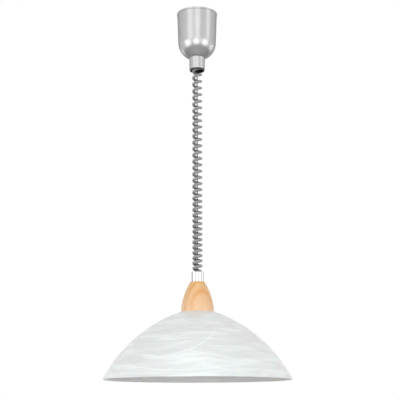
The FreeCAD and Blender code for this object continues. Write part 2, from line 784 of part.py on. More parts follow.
def outlet_tube():
    inner = "(tube_radius - tube_wall)"
    foot = f"({TUBE_FOOT} + foot_boss_level)"
    outline = [("0", "0"), ("tube_flange", "0"), ("tube_flange", "-tube_flange_thick"),
               ("tube_radius", "-tube_flange_thick"), ("tube_radius", foot), (inner, foot),
               (inner, "-tube_disc"), ("0", "-tube_disc")]
    tube = turned("outlet", outline, ("0", "0", TUBE_TOP))
    tools = [
        rod("outlet_guide_hole", "guide_flange + fit_gap", "tube_disc + 2*cut_over",
            ("0", "0", "-foot_boss_level - tube_disc - cut_over")),
        rod("outlet_gland_hole", "gland_radius + fit_gap", "tube_disc + 2*cut_over",
            (GLAND_X, "0", "-foot_boss_level - tube_disc - cut_over")),
    ]
    screws = []
    for index, (x, y) in enumerate(TUBE_SCREWS):
        tools.append(rod(f"outlet_screw_hole_{index}", "tube_screw_radius + fit_gap",
                         "tube_flange_thick + 2*cut_over",
                         (x, y, "-foot_boss_level - tube_flange_thick - cut_over")))
        screws.append(screw(f"tube_screw_{index}", "tube_screw_radius", "tube_screw_length",
                            (x, y, "-foot_boss_level - tube_flange_thick"), UPRIGHT,
                            head="1.5", head_height="0.8"))
    node("outlet_tube", cut("outlet_cut", tube, tools))
    node("tube_screws", group("tube_screw_set", screws))


def cord_gland():
    foot = "-tube_disc - gland_standout"
    crown = "foot_boss_height + gland_flange_thick"
    outline = [("gland_bore", foot), ("gland_radius", foot), ("gland_radius", "foot_boss_height"),
               ("gland_flange", "foot_boss_height"), ("gland_flange", crown), ("gland_bore", crown)]
    node("cord_gland", turned("gland", outline, (GLAND_X, "0", "-foot_boss_level")))


def terminal_block():
    left = f"({DRUM_X} - block_length/2)"
    front = f"({HOUSING_FRONT} - block_depth)"
    foot = "(-block_level - block_height/2)"
    blank = box("block_blank", "block_length", "block_depth", "block_height", (left, front, foot))
    tools = [rod("block_hole", "cover_screw_radius + fit_gap", "block_depth + 2*cut_over",
                 (DRUM_X, f"{front} - cut_over", "-block_level"), ALONG_Y)]
    screws = []
    for pole in (-1, 0, 1):
        x = f"({DRUM_X} + {pole}*block_length/3)"
        for end in (-1, 1):
            tools.append(rod(f"block_mouth_{pole + 2}_{end + 1}", "core_radius + seat_gap",
                             "block_mouth_depth",
                             (x, f"{front} + block_depth/2",
                              f"-block_level + {end}*(block_height/2 - block_mouth_depth/2)"
                              " - block_mouth_depth/2")))
            if pole:
                z = f"-block_level + {end}*block_height/4"
                tools.append(rod(f"block_screw_hole_{pole + 1}_{end + 1}", "clamp_hole_radius",
                                 "clamp_hole_depth + cut_over", (x, f"{front} - cut_over", z),
                                 ALONG_Y))
                screws.append(screw(f"clamp_screw_{pole + 1}_{end + 1}", "clamp_screw_radius",
                                    "clamp_screw_length", (x, f"{front} + clamp_screw_sink", z),
                                    ALONG_Y, head="1.5"))
    node("terminal_block", cut("block", blank, tools))
    node("terminal_screws", group("clamp_screw_set", screws))
    node("block_screw", screw("block_fixing", "cover_screw_radius", "block_depth + housing_wall",
                              (DRUM_X, front, "-block_level"), ALONG_Y))


def supply_cores():
    """Three cores go from the gland, one over the other, to the terminal block."""
    radius = size("core_radius")
    front = size(f"{HOUSING_FRONT} - block_depth/2")
    mouth_entry = 1
    foot = size("-block_level - block_height/2") + mouth_entry
    boss_top = size("foot_boss_height - foot_boss_level")
    pole_gap = size("block_length/3")
    spread = 1.5
    tail_depth = 12
    first_lane = 7.5
    lane_step = 3.2
    lift = 5
    lift_step = 0.5
    lane_slope = 1
    swing = 3.5
    front_inset = 1.5
    for index, name in enumerate(("core_neutral", "core_earth", "core_live")):
        angle = math.radians(-90 + 120 * index)
        x = size(GLAND_X) + spread * math.cos(angle)
        y = spread * math.sin(angle)
        pole = size(DRUM_X) + (index - 1) * pole_gap
        lane = boss_top + first_lane + lane_step * index
        points = [V(x, y, boss_top - tail_depth), V(x, y, lane - lift - lift_step * index),
                  V(x, y - swing, lane - lane_slope), V(x, front + front_inset, lane),
                  V(pole, front, lane + lane_slope), V(pole, front, foot)]
        node(name, wire_run(name + "_lead", points, radius))


# ---------------------------------------------------------------- ceiling cup

def canopy_cup():
    shoulder = "-cup_shoulder_level"
    hole = "collar_thread + fit_gap"
    outline = [
        (hole, "-cup_height"), ("collar_top", "-cup_height", "cup_dome", 1),
        ("cup_shoulder", shoulder), ("cup_rim", "-cup_lip_height - cup_lip"),
        ("cup_rim + cup_lip", "-cup_lip_height"), ("cup_rim + cup_lip", "-cup_lip"),
        ("cup_rim", "0"), ("cup_rim - cup_wall", "0"),
        ("cup_shoulder - cup_wall", shoulder, "cup_dome - cup_wall", -1),
        (hole, "-cup_height + cup_floor"),
    ]
    node("canopy_cup", turned("cup", outline))


def neck_collar():
    bore = "tube_radius + fit_gap"
    foot = "-collar_length"
    outline = [(bore, foot), ("collar_foot", foot), ("collar_top", "0"), ("collar_thread", "0"),
               ("collar_thread", "collar_thread_length"), (bore, "collar_thread_length")]
    collar = turned("collar", outline, ("0", "0", "-cup_height"))
    level = "-cup_height - collar_screw_drop"
    tools = []
    screws = []
    for index, angle in enumerate(COLLAR_SCREW_ANGLES):
        way = FreeCAD.Rotation(V(math.cos(math.radians(angle)), math.sin(math.radians(angle)), 0),
                               V(0, 0, 1)).inverted()
        inner = (f"(tube_radius + fit_gap)*cos({angle})", f"(tube_radius + fit_gap)*sin({angle})",
                 level)
        tools.append(rod(f"collar_hole_{index}", "collar_screw_radius + fit_gap",
                         "2*collar_screw_length", inner, way))
        shank = rod(f"collar_shank_{index}", "collar_screw_radius", "collar_screw_length", inner,
                    way)
        head = rod(f"collar_head_{index}", "collar_head_radius", "collar_head_height",
                   (f"(collar_top + fit_gap)*cos({angle})", f"(collar_top + fit_gap)*sin({angle})",
                    level), way)
        screws.append(fuse(f"collar_screw_{index}", [shank, head]))
    node("neck_collar", cut("collar_cut", collar, tools))
    node("collar_screws", group("collar_screw_set", screws))


def collar_nut():
    bore = "collar_thread + fit_gap"
    outline = [(bore, "0"), ("collar_nut_radius", "0"), ("collar_nut_radius", "collar_nut_height"),
               (bore, "collar_nut_height")]
    node("collar_nut", turned("cup_nut", outline, ("0", "0", "-cup_height + collar_nut_seat")))


# ---------------------------------------------------------------- curly cord

def curl_levels():
    """Where the curls start and end, clear of the bends into both tails."""
    top = size(CORD_TOP) - size("cord_tail_top") - size("cord_bend")
    foot = size(GRIP_TOP) - size("grip_socket") + size("cord_tail_foot") + size("cord_bend")
    return top, foot


def curl_start_angle():
    """The first curl starts where its tail rises into the gland, straight right of the axis."""
    return -math.atan2(size("cord_bend"), size("curl_radius"))


def curl_spot(turn):
    """A point of the curl line. Its turns open towards the top, where they carry more."""
    count = size("curl_count")
    top, foot = curl_levels()
    stretch = size("curl_stretch")
    share = turn / count
    fallen = (2 * stretch * share - (stretch - 1) * share ** 2) / (stretch + 1)
    angle = curl_start_angle() - 2 * math.pi * turn
    left = count - turn
    radius = size("curl_radius")
    if left < 1:
        ease = (1 + math.cos(math.pi * left)) / 2
        radius += (size("curl_end_radius") - radius) * ease
    return V(radius * math.cos(angle), radius * math.sin(angle), top + (foot - top) * fallen)


def curl_way(turn):
    step = 0.001
    return (curl_spot(turn + step) - curl_spot(turn - step)).normalize()


def foot_tail():
    """Where the lower tail stands over the grip."""
    count = size("curl_count")
    angle = curl_start_angle() - 2 * math.pi * count
    angle -= math.atan2(size("cord_bend"), size("curl_end_radius"))
    return tail_spot(size("curl_end_radius"), angle)


def curly_cord():
    count = size("curl_count")
    down = V(0, 0, -1)
    bend = size("cord_bend")
    top, foot = curl_levels()
    gland_x, _ = tail_spot(size("curl_radius"), 0)
    foot_x, foot_y = foot_tail()
    start = V(gland_x, 0, size(CORD_TOP))
    upper = V(gland_x, 0, top + bend)
    lower = V(foot_x, foot_y, foot - bend)
    end = V(foot_x, foot_y, size(GRIP_TOP) - size("grip_socket"))
    edges = [Part.LineSegment(start, upper).toShape()]
    edges += biarc(upper, down, curl_spot(0), curl_way(0))
    halves = math.ceil(2 * count)
    for half in range(halves):
        here = count * half / halves
        there = count * (half + 1) / halves
        edges += biarc(curl_spot(here), curl_way(here), curl_spot(there), curl_way(there))
    edges += biarc(curl_spot(count), curl_way(count), lower, down)
    edges.append(Part.LineSegment(lower, end).toShape())
    radius = size("cord_diameter/2")
    tube, spine = tube_along(edges, start, down, radius)
    ratio = tube.Volume / (math.pi * radius ** 2 * spine.Length)
    step = 2.5
    points = spine.discretize(Number=int(spine.Length / step))
    gap = least_gap(points, step, 2 * radius, math.pi * size("curl_radius"))
    print(f"curly_cord: length {spine.Length:.0f} mm, volume ratio {ratio:.4f}, "
          f"least gap {gap:.2f} mm")
    node("curly_cord", shaped("cord", tube))


# ---------------------------------------------------------------- lamp head

def ferrule():
    inner = "(ferrule_radius - ferrule_wall)"
    outline = [
        (inner, "0"), ("ferrule_radius", "0"),
        ("ferrule_radius", "ferrule_height - ferrule_edge", "ferrule_edge", 1),
        ("ferrule_radius - ferrule_edge", "ferrule_height"), ("ferrule_mouth", "ferrule_height"),
        ("ferrule_mouth", "ferrule_height - ferrule_wall"),
        (inner, "ferrule_height - ferrule_edge - ferrule_wall/2"),
    ]
    node("ferrule", turned("ferrule_sleeve", outline, ("0", "0", WOOD_TOP)))


def cord_grip():
    foot_x, foot_y = foot_tail()
    body = rod("grip_body", "ferrule_radius - ferrule_wall - fit_gap", "grip_height",
               ("0", "0", WOOD_TOP))
    swing = math.degrees(math.atan2(foot_y, foot_x))
    channel = box("grip_channel", f"{math.hypot(foot_x, foot_y):.3f}", "grip_channel_width",
                  f"{GRIP_TOP} - grip_socket - {WEB_FOOT} + grip_channel_depth",
                  (f"grip_channel_width/2*sin({swing:.4f})", f"-grip_channel_width/2*cos({swing:.4f})",
                   f"{WEB_FOOT} - grip_channel_depth"), FreeCAD.Rotation(V(0, 0, 1), swing))
    tools = [
        rod("grip_wire_hole", "wire_diameter/2 + fit_gap", "grip_height + 2*cut_over",
            ("0", "0", f"{WOOD_TOP} - cut_over")),
        rod("grip_cord_hole", "cord_diameter/2 + fit_gap", "grip_socket + cut_over",
            (f"{foot_x:.4f}", f"{foot_y:.4f}", f"{GRIP_TOP} - grip_socket")),
        rod("grip_nipple_hole", "nipple_radius + fit_gap", "grip_height - grip_web + cut_over",
            ("0", "0", f"{WOOD_TOP} - cut_over")),
        channel,
    ]
    node("cord_grip", cut("grip", body, tools))
    sleeve = rod("stop_sleeve", "stop_radius", "stop_length", ("0", "0", f"{WEB_FOOT} - stop_length"))
    bore = rod("stop_bore", "wire_diameter/2 + fit_gap", "stop_length + 2*cut_over",
               ("0", "0", f"{WEB_FOOT} - stop_length - cut_over"))
    node("wire_stop", cut("stop", sleeve, [bore]))


def threaded_nipple():
    top = f"({WEB_FOOT} - seat_gap)"
    outline = [("nipple_bore", "-nipple_length"), ("nipple_radius", "-nipple_length"),
               ("nipple_radius", "0"), ("nipple_bore", "0")]
    node("threaded_nipple", turned("nipple", outline, ("0", "0", top)))
    washer_top = f"({WOOD_TOP} - wood_web)"
    bore = "nipple_radius + fit_gap"
    ring = [(bore, "-washer_thick"), ("washer_radius", "-washer_thick"), ("washer_radius", "0"),
            (bore, "0")]
    node("nipple_washer", turned("washer", ring, ("0", "0", washer_top)))
    nut_foot = f"({washer_top} - washer_thick - nut_height)"
    blank = solid("Prism", "nipple_nut_blank", ("0", "0", nut_foot), Polygon=6,
                  Circumradius="nut_flats/2/cos(30)", Height="nut_height")
    hole = rod("nipple_nut_bore", bore, "nut_height + 2*cut_over",
               ("0", "0", f"{nut_foot} - cut_over"))
    node("nipple_nut", cut("nipple_nut_cut", blank, [hole]))


def wood_cup():
    hole = "nipple_radius + wood_hole_gap"
    seat = "felt_radius + felt_gap"
    recess = "-wood_height + felt_thick"
    outline = [
        (hole, "0"), ("wood_top - wood_edge", "0"), ("wood_top", "-wood_edge", "wood_curve", -1),
        ("wood_foot", "-wood_height"), (seat, "-wood_height"), (seat, recess),
        ("wood_bore", recess), ("wood_bore", "-wood_bore_depth"),
        ("wood_waist", "-wood_waist_depth"), ("wood_throat", "-wood_web"), (hole, "-wood_web"),
    ]
    node("wood_cup", turned("wood", outline, ("0", "0", WOOD_TOP)))
    inner = "wood_bore + 2*felt_gap"
    ring = [(inner, "0"), ("felt_radius", "0"), ("felt_radius", "felt_thick"),
            (inner, "felt_thick")]
    node("felt_ring", turned("felt", ring, ("0", "0", GLASS_TOP)))


# ---------------------------------------------------------------- lampholder

def lampholder():
    bore = "nipple_radius + fit_gap"
    inner = "(cap_radius - cap_wall)"
    cap = [
        (bore, "0"), ("cap_crown", "0", "cap_dome", -1), ("cap_radius", "-cap_dome_height"),
        ("cap_radius", "-cap_height"), (inner, "-cap_height"), (inner, "-cap_dome_height - cap_step"),
        ("cap_crown", "-cap_wall - cap_step"), ("cap_boss", "-cap_wall - cap_step"),
        ("cap_boss", "-cap_boss_depth"), (bore, "-cap_boss_depth"),
    ]
    node("lampholder_cap", turned("holder_cap", cap, ("0", "0", CAP_TOP)))
    shell = [
        ("shell_upper", "0"), ("shell_radius", "0"), ("shell_radius", "-shell_length"),
        ("shell_mouth", "-shell_length"), ("shell_mouth", "-shell_length + shell_mouth_depth"),
        ("shell_throat", "-shell_length + shell_mouth_depth + shell_bevel"),
        ("shell_throat", "-shell_seat"),
        ("shell_upper", "-shell_seat"),
    ]
    node("lampholder_shell", turned("holder_shell", shell, ("0", "0", SHELL_TOP)))


def contacts():
    radius = "(cap_radius - cap_wall - seat_gap)"
    block = rod("insert_block", radius, "insert_height", ("0", "0", INSERT_FOOT))
    hole_foot = f"{INSERT_FOOT} + insert_height - insert_hole_depth"
    tools = []
    screws = []
    for side, sign in (("left", "-"), ("right", "")):
        tools.append(rod(f"insert_core_hole_{side}", "core_radius + fit_gap",
                         "insert_hole_depth + cut_over", (f"{sign}core_spread", "0", hole_foot)))
        tools.append(rod(f"insert_screw_hole_{side}", "insert_screw_radius + fit_gap",
                         "insert_hole_depth + cut_over", (f"{sign}insert_screw_offset", "0", hole_foot)))
        screws.append(screw(f"insert_screw_{side}", "insert_screw_radius", "insert_screw_length",
                            (f"{sign}insert_screw_offset", "0", f"{INSERT_FOOT} + insert_height"),
                            FACING_DOWN))
    node("contact_block", cut("insert", block, tools))
    node("contact_screws", group("insert_screw_pair", screws))
    node("centre_contact", box("centre_leaf", "centre_leaf_length", "centre_leaf_width", "contact_thick",
                               ("-centre_leaf_length/2", "-centre_leaf_width/2",
                                f"{INSERT_FOOT} - contact_thick")))
    node("side_contact", box("side_leaf", "side_leaf_thick", "side_leaf_width", "side_leaf_height",
                             ("shell_throat - side_leaf_gap - side_leaf_thick",
                              "-side_leaf_width/2", f"{INSERT_FOOT} - side_leaf_height")))


def lamp_cores():
    """Two cores go down through the nipple to the contact block."""
    radius = size("lamp_core_radius")
    top_drop = 0.5
    exit_drop = 3
    entry_rise = 1.5
    entry_depth = 4
    top = size(WEB_FOOT) - top_drop
    exit_level = size(f"{WEB_FOOT} - nipple_length") - exit_drop
    block_top = size(f"{INSERT_FOOT} + insert_height")
    for name, side in (("lamp_core_live", 1), ("lamp_core_neutral", -1)):
        near = side * (size("stop_radius + fit_gap") + radius)
        far = side * size("core_spread")
        points = [V(near, 0, top), V(near, 0, exit_level), V(far, 0, block_top + entry_rise),
                  V(far, 0, block_top - entry_depth)]
        node(name, wire_run(name + "_lead", points, radius))


# ---------------------------------------------------------------- shade and bulb

def glass_shade():
    across = "shade_wall*cos(shade_rim_slope)"
    down = "shade_wall*sin(shade_rim_slope)"
    outline = [
        ("shade_hole", "0"), ("shade_seat", "0", "shade_curve", -1),
        ("shade_rim", "-shade_rim_depth", RIM_ROUND, -1),
        (f"shade_rim - {across}", f"-shade_rim_depth - {down}", "shade_curve - shade_wall", 1),
        ("shade_seat - shade_seat_step", "-shade_wall"), ("shade_hole", "-shade_wall"),
    ]
    node("glass_shade", turned("shade", outline, ("0", "0", GLASS_TOP)))


def shade_clamp():
    level = f"({GLASS_TOP} - shade_wall)"
    gasket = [("shade_hole", "-gasket_thick"), ("gasket_radius", "-gasket_thick"),
              ("gasket_radius", "0"), ("shade_hole", "0")]
    node("glass_gasket", turned("gasket", gasket, ("0", "0", level)))
    bore = "shell_radius + fit_gap"
    step = "ring_radius - ring_step"
    ring = [(bore, "-ring_height"), (step, "-ring_height"),
            (step, "-ring_flange - ring_flange_bevel"), ("ring_radius", "-ring_flange"),
            ("ring_radius", "0"), (bore, "0")]
    blank = turned("ring_blank", ring, ("0", "0", f"{level} - gasket_thick"))
    grips = []
    for index in range(RING_GRIPS):
        angle = index * 360 / RING_GRIPS
        grips.append(rod(f"ring_grip_{index}", "ring_grip",
                         "ring_height - ring_flange - ring_flange_bevel",
                         (f"({step})*cos({angle})", f"({step})*sin({angle})",
                          f"{level} - gasket_thick - ring_height")))
    node("shade_ring", cut("ring", blank, grips))


def bulb():
    cap_foot = "-bulb_cap_length"
    inner = "bulb_cap_radius - bulb_cap_wall"
    cap = [("0", "-bulb_cap_top"), ("bulb_glaze_inner", "-bulb_cap_top"),
           ("bulb_glaze_outer", "-bulb_cap_slope"), ("bulb_cap_radius", "-bulb_cap_shoulder"),
           ("bulb_cap_radius", cap_foot), (inner, cap_foot), (inner, "-bulb_cap_floor"),
           ("0", "-bulb_cap_floor")]
    node("bulb_cap", turned("bulb_base", cap, ("0", "0", BULB_TOP)))
    point = [("0", "-bulb_cap_top"), ("bulb_tip", "-bulb_cap_top"),
             ("bulb_tip - bulb_tip_bevel", "0"), ("0", "0")]
    node("bulb_contact", turned("bulb_point", point, ("0", "0", BULB_TOP)))
    centre = "(-bulb_length + bulb_radius)"
    neck = "bulb_cap_radius - bulb_cap_wall - fit_gap"
    neck_foot = f"{cap_foot} - bulb_neck_drop"
    inside = "(bulb_radius - bulb_wall)"

    def on_round(radius, angle):
        return f"{radius}*cos({angle})", f"{centre} + {radius}*sin({angle})"

    glass = [
        (neck, f"{cap_foot} + bulb_lap"), (neck, neck_foot, "bulb_neck_curve", 1),
        (*on_round("bulb_radius", "bulb_neck_angle"), "bulb_radius", -1),
        (*on_round("bulb_radius", "bulb_low_angle"), "bulb_radius", -1),
        ("0", "-bulb_length"), ("0", "-bulb_length + bulb_wall", inside, 1),
        (*on_round(inside, "bulb_low_angle"), inside, 1),
        (*on_round(inside, "bulb_neck_angle"), "bulb_neck_curve + bulb_wall", -1),
        (f"{neck} - bulb_wall", neck_foot), (f"{neck} - bulb_wall", f"{cap_foot} + bulb_lap"),
    ]
    node("bulb_glass", turned("bulb_envelope", glass, ("0", "0", BULB_TOP)))


ceiling_bracket()
suspension_hook()
hanging_eye()
balancer_case()
balancer_cover()
rope_drum()
main_spring()
drum_axle()
wire_winding()
suspension_wire()
wire_guide()
outlet_tube()
cord_gland()
terminal_block()
supply_cores()
canopy_cup()
neck_collar()
collar_nut()
curly_cord()
ferrule()
cord_grip()
threaded_nipple()
wood_cup()
lampholder()
contacts()
lamp_cores()
glass_shade()
shade_clamp()
bulb()
doc.recompute()

failed = [thing.Name for thing in doc.Objects if {"Invalid", "Error"} & set(thing.State)]
if failed:
    raise RuntimeError(f"did not build: {failed}")
unsound = [label for label, thing in NODES.items()
           if thing.Shape.isNull() or not thing.Shape.isValid() or not thing.Shape.Solids]
if unsound:
    raise RuntimeError(f"no valid solid: {unsound}")

os.makedirs("parts", exist_ok=True)
for label, thing in NODES.items():
    thing.Shape.exportStep(f"parts/{label}.step")
print(f"{len(NODES)} nodes")
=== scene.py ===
import json
import math

import bpy
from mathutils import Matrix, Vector

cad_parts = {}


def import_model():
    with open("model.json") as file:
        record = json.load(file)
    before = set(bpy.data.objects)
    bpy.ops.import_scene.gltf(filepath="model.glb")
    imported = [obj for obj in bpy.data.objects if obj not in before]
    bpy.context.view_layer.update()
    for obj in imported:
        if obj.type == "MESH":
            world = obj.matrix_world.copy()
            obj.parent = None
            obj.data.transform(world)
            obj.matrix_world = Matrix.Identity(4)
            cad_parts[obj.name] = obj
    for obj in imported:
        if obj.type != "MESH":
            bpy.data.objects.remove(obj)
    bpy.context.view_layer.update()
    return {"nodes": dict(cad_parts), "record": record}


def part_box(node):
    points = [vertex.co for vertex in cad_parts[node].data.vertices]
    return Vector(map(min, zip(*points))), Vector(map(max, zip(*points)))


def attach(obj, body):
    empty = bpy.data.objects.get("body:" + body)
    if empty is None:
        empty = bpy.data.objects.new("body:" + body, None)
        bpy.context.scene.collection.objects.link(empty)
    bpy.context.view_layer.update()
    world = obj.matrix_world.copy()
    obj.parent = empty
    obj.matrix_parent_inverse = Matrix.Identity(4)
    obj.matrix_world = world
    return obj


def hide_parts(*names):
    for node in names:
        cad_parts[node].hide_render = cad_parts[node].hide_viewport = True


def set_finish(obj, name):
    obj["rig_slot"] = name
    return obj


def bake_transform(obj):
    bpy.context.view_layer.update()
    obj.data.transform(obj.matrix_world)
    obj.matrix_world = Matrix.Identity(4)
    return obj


# Rise and fall pendant. Metres, +Z up, origin in the ceiling plane on the lamp's axis.

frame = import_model()

# ---------------------------------------------------------------- driving sizes

# The curly cord, from its gland to its grip. The top curls lie up to CURL_STRETCH times as far
# apart as the lowest ones. CORD_EASE is the place of each tail's last control point, as a share
# of its bend.
CORD_RADIUS = 0.0034
CORD_BEND = 0.007
CORD_EASE = 0.35
CURL_COUNT = 35.1
CURL_RADIUS = 0.0088
CURL_END_RADIUS = 0.0064
CURL_STRETCH = 1.52
TAIL_TOP = 0.011
TAIL_FOOT = 0.008
CORD_TOP = -0.103
CORD_FOOT = -0.654

# How far the curls hang below and above an even spread: first below it, over this share of the
# height, and then in waves that die out near the foot.
SETTLED_SHARE = 0.28
SETTLED_TOP = 0.003
SETTLED_FADE = 1.5
SETTLED_WAVE = 0.0014
SETTLED_WAVES = 2
SETTLED_END = 8

# How finely the cord and the wire are cut, and the strands that show through the wire's coat.
POINTS_PER_CURL = 16
CORD_STEPS = 4
CORD_SIDES = 16
WINDING_STEPS = 6
WIRE_RINGS_PER_METRE = 700
WIRE_SIDES = 30
WIRE_STRANDS = 6
WIRE_LAY = 0.018
WIRE_RELIEF = 0.00009

# Lens and sensor in millimetres. The camera stands in front, a little below the shade's rim.
LENS = 90.0
SENSOR = 36.0
CAMERA_DISTANCE = 2.312
CAMERA_BELOW_RIM = 0.0725
CAMERA_SIDE = 0.0053
CAMERA_PITCH = math.radians(12)
CAMERA_ROLL = math.radians(0.12)

# The wire's turns on the drum, and the flat strip of the main spring inside it.
DRUM_TURNS = 4.5
SPRING_INNER = 0.0042
SPRING_OUTER = 0.0130
SPRING_STRIP = 0.0004
SPRING_BEVEL = SPRING_STRIP / 4
SPRING_TURNS = 8
SPRING_CUTS = 24

# The supply leads. They rise from the gland, each turns off in a lane of its own over the boss,
# and each ends in its pole of the terminal block.
POLES = 3
CORE_RADIUS = 0.0011
CORE_SPREAD = 0.0015
CORE_TAIL = 0.012
CORE_LANE = 0.0075
CORE_LANE_STEP = 0.0032
CORE_LIFT = 0.005
CORE_LIFT_STEP = 0.0005
CORE_SLOPE = 0.001
CORE_SWING = 0.0035
CORE_INSET = 0.0015
CORE_ENTRY = 0.001
BOSS_HEIGHT = 0.014

LEAD_STEPS = 10
LEAD_SIDES = 20

# The lamp's two leads, near the axis in the nipple and further out over the contact block.
LAMP_CORE_RADIUS = 0.0009
LAMP_CORE_NEAR = 0.00295
LAMP_CORE_FAR = 0.005
LAMP_CORE_EXIT = 0.003
LAMP_CORE_RISE = 0.0015
LAMP_CORE_ENTRY = 0.004

LIGHT_DISTANCE = 2.2
LIGHT_LEVEL = -0.6
LIGHT_AIM = -0.5
# Degrees round from the front, size in metres and power in watts. The high ones leave long pale
# streaks on the ceiling cup, and the low ones its round highlights.
SOFT_LIGHTS = ((-136, 0.7, 1.8), (-59, 1.4, 12.8), (-4, 1.4, 12.8), (50, 1.4, 12.8), (109, 0.8, 3))
HIGH_LIGHTS = ((-40, 1.2, 4.4), (3, 1.0, 3.5), (68, 0.8, 2.3))
HIGH_LEVEL = 0.8
TOP_SPOT = (0, -1.0, 1.9)
TOP_SIZE = 1.0
TOP_POWER = 5

# The felt and silicone rings: how wide they are, and how round and uneven their edges.
LATHE_SIDES = 160
ROUND_STEPS = 3
FELT_WIDTH = 0.0063
FELT_ROUND = 0.0004
FELT_FUZZ = 0.00008
GASKET_WIDTH = 0.0085
GASKET_ROUND = 0.0005
# waves round the ring, and how far each slips from one point of the outline to the next
FUZZ_WAVES = ((37, 2.1), (23, -1.3))

# The backdrop's light, and how bright it looks where it is seen or mirrored.
PLAIN_LEVEL = 0.40
BRIGHT_LEVEL = 1.0
FLOOR_REACH = 4.0
FLOOR_LEVEL = -2.2


# ---------------------------------------------------------------- meshes

def mesh_piece(name, verts, faces):
    mesh = bpy.data.meshes.new(name)
    mesh.from_pydata(verts, [], faces)
    mesh.polygons.foreach_set("use_smooth", [True] * len(mesh.polygons))
    mesh.update()
    piece = bpy.data.objects.new(name, mesh)
    bpy.context.scene.collection.objects.link(piece)
    return piece


def ring_faces(rings, around, inverted=False, joined=False):
    """Faces from ring to ring, and over both ends unless the last ring joins the first."""
    faces = []
    for ring in range(rings if joined else rings - 1):
        near, far = ring * around, (ring + 1) % rings * around
        for side in range(around):
            after = (side + 1) % around
            faces.append((near + side, near + after, far + after, far + side))
    if not joined:
        faces.append(tuple(reversed(range(around))))
        faces.append(tuple(range((rings - 1) * around, rings * around)))
    if inverted:
        faces = [(face[0], *reversed(face[1:])) for face in faces]
    return faces


def swept_tube(name, line, sides, radius_at):
    """A closed tube round a line. radius_at(ring, angle) is its radius there."""
    ways = [(line[min(i + 1, len(line) - 1)] - line[max(i - 1, 0)]).normalized()
            for i in range(len(line))]
    across = ways[0].orthogonal().normalized()
    verts = []
    for ring, (point, way) in enumerate(zip(line, ways)):
        across = (across - way * across.dot(way)).normalized()
        other = way.cross(across)
        for side in range(sides):
            angle = 2 * math.pi * side / sides
            reach = radius_at(ring, angle)
            verts.append(point + (across * math.cos(angle) + other * math.sin(angle)) * reach)
    return mesh_piece(name, verts, ring_faces(len(line), sides))


def stretch_with_lamp(piece, line, sides, top, foot):
    """Bakes the piece's placement into its mesh and works out, for each ring, how far down its
    centre lies as a share from top to foot; the shares are not used.
    """
    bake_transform(piece)
    weights = []
    for point in line:
        share = min(1.0, max(0.0, (top - point.z) / (top - foot)))
        weights += [share] * sides


# ---------------------------------------------------------------- curly cord

def curl_levels():
    """Where the curls begin and where they end."""
    return CORD_TOP - TAIL_TOP - CORD_BEND, CORD_FOOT + TAIL_FOOT + CORD_BEND


def curl_spot(turn, grow=1.0):
    """A point of the curl line. Its turns open towards the top, where they carry more cord."""
    top, foot = curl_levels()
    share = turn / CURL_COUNT
    fallen = (2 * CURL_STRETCH * share - (CURL_STRETCH - 1) * share ** 2) / (CURL_STRETCH + 1)
    if fallen < SETTLED_SHARE:
        settled = SETTLED_TOP * (1 - fallen / SETTLED_SHARE) ** SETTLED_FADE
    else:
        wave = math.sin(2 * math.pi * SETTLED_WAVES * (SETTLED_SHARE - fallen))
        settled = SETTLED_WAVE * wave * (1 - fallen ** SETTLED_END)
    angle = -math.atan2(CORD_BEND, CURL_RADIUS) - 2 * math.pi * turn
    radius = CURL_RADIUS
    left = CURL_COUNT - turn
    if left < 1:
        radius += (CURL_END_RADIUS - CURL_RADIUS) * (1 + math.cos(math.pi * left)) / 2
    radius *= grow
    level = top + (foot - top) * fallen - settled
    return Vector((radius * math.cos(angle), radius * math.sin(angle), level))


def tail_place(end_radius, angle):
    """Where a straight tail stands: beside the curls, on the tangent of the first or last one."""
    reach = math.hypot(end_radius, CORD_BEND)
    return reach * math.cos(angle), reach * math.sin(angle)


def cord_route():
    """Control points: down out of the gland, round the curls and down into the grip."""
    top, foot = curl_levels()
    high_x, high_y = tail_place(CURL_RADIUS, 0)
    low_turn = -math.atan2(CORD_BEND, CURL_RADIUS) - 2 * math.pi * CURL_COUNT
    low_x, low_y = tail_place(CURL_END_RADIUS,
                              low_turn - math.atan2(CORD_BEND, CURL_END_RADIUS))
    # A spline of this order runs inside its points, so the points stand that much out.
    grow = 1 / math.cos(math.pi / POINTS_PER_CURL)
    count = round(CURL_COUNT * POINTS_PER_CURL)
    route = [Vector((high_x, high_y, CORD_TOP)), Vector((high_x, high_y, top + CORD_BEND)),
             Vector((high_x, high_y, top + CORD_BEND * CORD_EASE))]
    for index in range(1, count):
        route.append(curl_spot(CURL_COUNT * index / count, grow))
    route += [Vector((low_x, low_y, foot - CORD_BEND * CORD_EASE)),
              Vector((low_x, low_y, foot - CORD_BEND)), Vector((low_x, low_y, CORD_FOOT))]
    return route


def along_spline(name, route, steps):
    """Points read from the smooth spline whose control points are the route."""
    curve = bpy.data.curves.new(name, "CURVE")
    curve.dimensions = "3D"
    curve.resolution_u = steps
    spline = curve.splines.new("NURBS")
    spline.points.add(len(route) - 1)
    for point, spot in zip(spline.points, route):
        point.co = (*spot, 1)
    spline.order_u = 3
    spline.use_endpoint_u = True
    holder = bpy.data.objects.new(name, curve)
    bpy.context.scene.collection.objects.link(holder)
    bpy.context.view_layer.update()
    mesh = bpy.data.meshes.new_from_object(holder)
    line = [vertex.co.copy() for vertex in mesh.vertices]
    bpy.data.objects.remove(holder)
    bpy.data.meshes.remove(mesh)
    bpy.data.curves.remove(curve)
    return line


def curly_cord():
    line = along_spline("cord_line", cord_route(), CORD_STEPS)
    piece = swept_tube("coiled_flex", line, CORD_SIDES, lambda ring, angle: CORD_RADIUS)
    top, foot = curl_levels()
    stretch_with_lamp(piece, line, CORD_SIDES, top, foot)
    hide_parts("curly_cord")
    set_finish(piece, "cord_sheath")
    return piece


